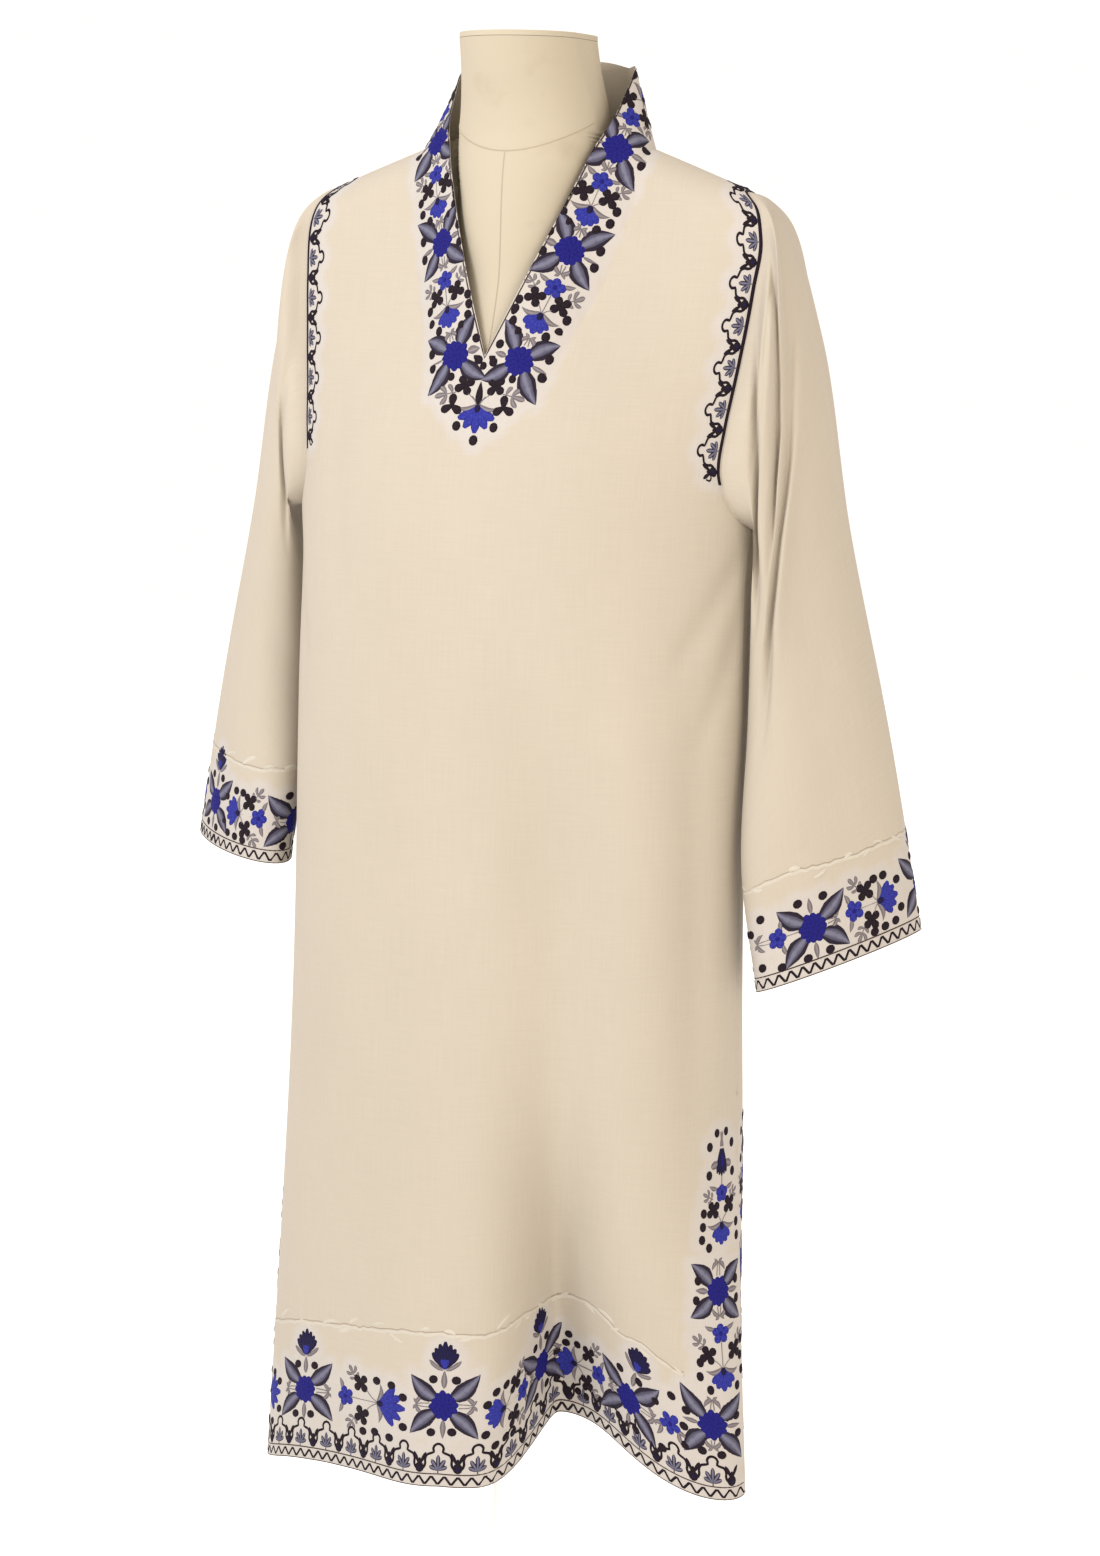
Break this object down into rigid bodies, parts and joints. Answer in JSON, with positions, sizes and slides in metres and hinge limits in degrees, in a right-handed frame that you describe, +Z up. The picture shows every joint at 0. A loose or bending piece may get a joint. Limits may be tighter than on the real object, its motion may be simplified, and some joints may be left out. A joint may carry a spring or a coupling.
{
  "type": "kurta on dress form",
  "caption": "Long-sleeved knee-length cloth tunic with a stand collar, pointed neckline and side slits, worn by a limbless dress form on a round stand.",
  "frame": {"origin": "centre of the underside of the stand's base, on the floor", "axes": "+Z up, the front of the kurta faces -Y, the wearer's left is +X"},
  "size_m": [0.645, 0.36, 1.4843],
  "materials": {
    "front_panel": "fine cream weave",
    "back_panel": "fine cream weave",
    "sleeve_left": "fine cream weave",
    "sleeve_right": "fine cream weave",
    "collar_band": "fine cream weave",
    "dress_form": "plain unbleached cotton cover",
    "neck_cap": "plain unbleached cotton cover",
    "stand_pole": "satin",
    "stand_base": "satin"
  },
  "bodies": {
    "root": {"front_panel": "front_panel", "back_panel": "back_panel", "sleeve_left": "sleeve_left", "sleeve_right": "sleeve_right", "collar_band": "collar_band", "dress_form": "dress_form", "neck_cap": "neck_cap", "stand_pole": "stand_pole", "stand_base": "stand_base"}
  },
  "joints": []
}
